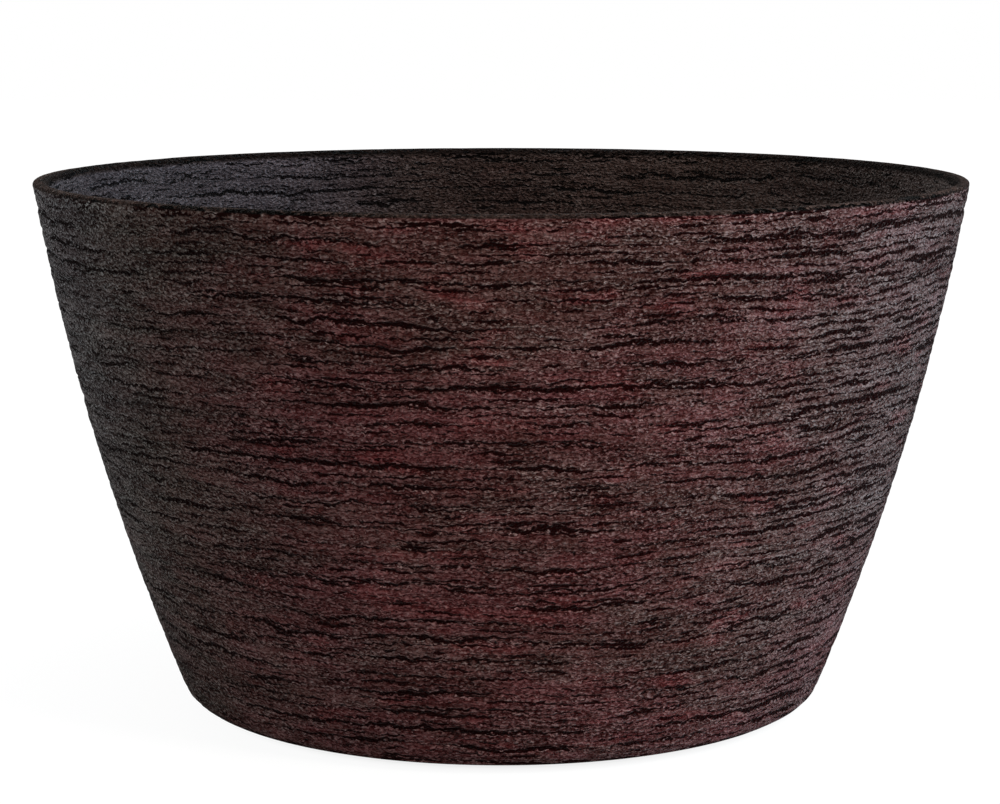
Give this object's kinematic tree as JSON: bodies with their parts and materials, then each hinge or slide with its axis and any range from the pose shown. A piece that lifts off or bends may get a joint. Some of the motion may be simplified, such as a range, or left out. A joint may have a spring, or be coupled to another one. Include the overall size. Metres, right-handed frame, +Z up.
{
  "type": "bowl planter",
  "caption": "Tapered round bowl planter with a bark-textured resin wall, plugged floor drains, a lift-out slotted drainage platform on legs, and rubber feet.",
  "frame": {"origin": "on the ground plane of the feet, under the middle of the bowl", "axes": "+Z up along the bowl's axis; X and Y pass through the floor drains"},
  "size_m": [0.4054, 0.4054, 0.231],
  "materials": {
    "bark_resin": "cast bark relief, dark red-brown and black, satin",
    "dark_plastic": "fine moulded grain",
    "plug_rubber": "matt",
    "foot_rubber": "matt"
  },
  "bodies": {
    "bowl": {"bowl_shell": "bark_resin", "foot_pad_1": "foot_rubber", "foot_pad_2": "foot_rubber", "foot_pad_3": "foot_rubber", "foot_pad_4": "foot_rubber"},
    "platform": {"drain_platform": "dark_plastic", "platform_leg_1": "dark_plastic", "platform_leg_2": "dark_plastic", "platform_leg_3": "dark_plastic", "platform_leg_4": "dark_plastic"},
    "plug_1": {"drain_plug_1": "plug_rubber"},
    "plug_2": {"drain_plug_2": "plug_rubber"},
    "plug_3": {"drain_plug_3": "plug_rubber"},
    "plug_4": {"drain_plug_4": "plug_rubber"}
  },
  "joints": [
    {"name": "platform_lift", "type": "slide", "parent": "bowl", "child": "platform", "axis": [0, 0, 1], "range_m": [0, 0.22]},
    {"name": "plug_1_pull", "type": "slide", "parent": "bowl", "child": "plug_1", "axis": [0, 0, 1], "range_m": [0, 0.02]},
    {"name": "plug_2_pull", "type": "slide", "parent": "bowl", "child": "plug_2", "axis": [0, 0, 1], "range_m": [0, 0.02]},
    {"name": "plug_3_pull", "type": "slide", "parent": "bowl", "child": "plug_3", "axis": [0, 0, 1], "range_m": [0, 0.02]},
    {"name": "plug_4_pull", "type": "slide", "parent": "bowl", "child": "plug_4", "axis": [0, 0, 1], "range_m": [0, 0.02]}
  ]
}
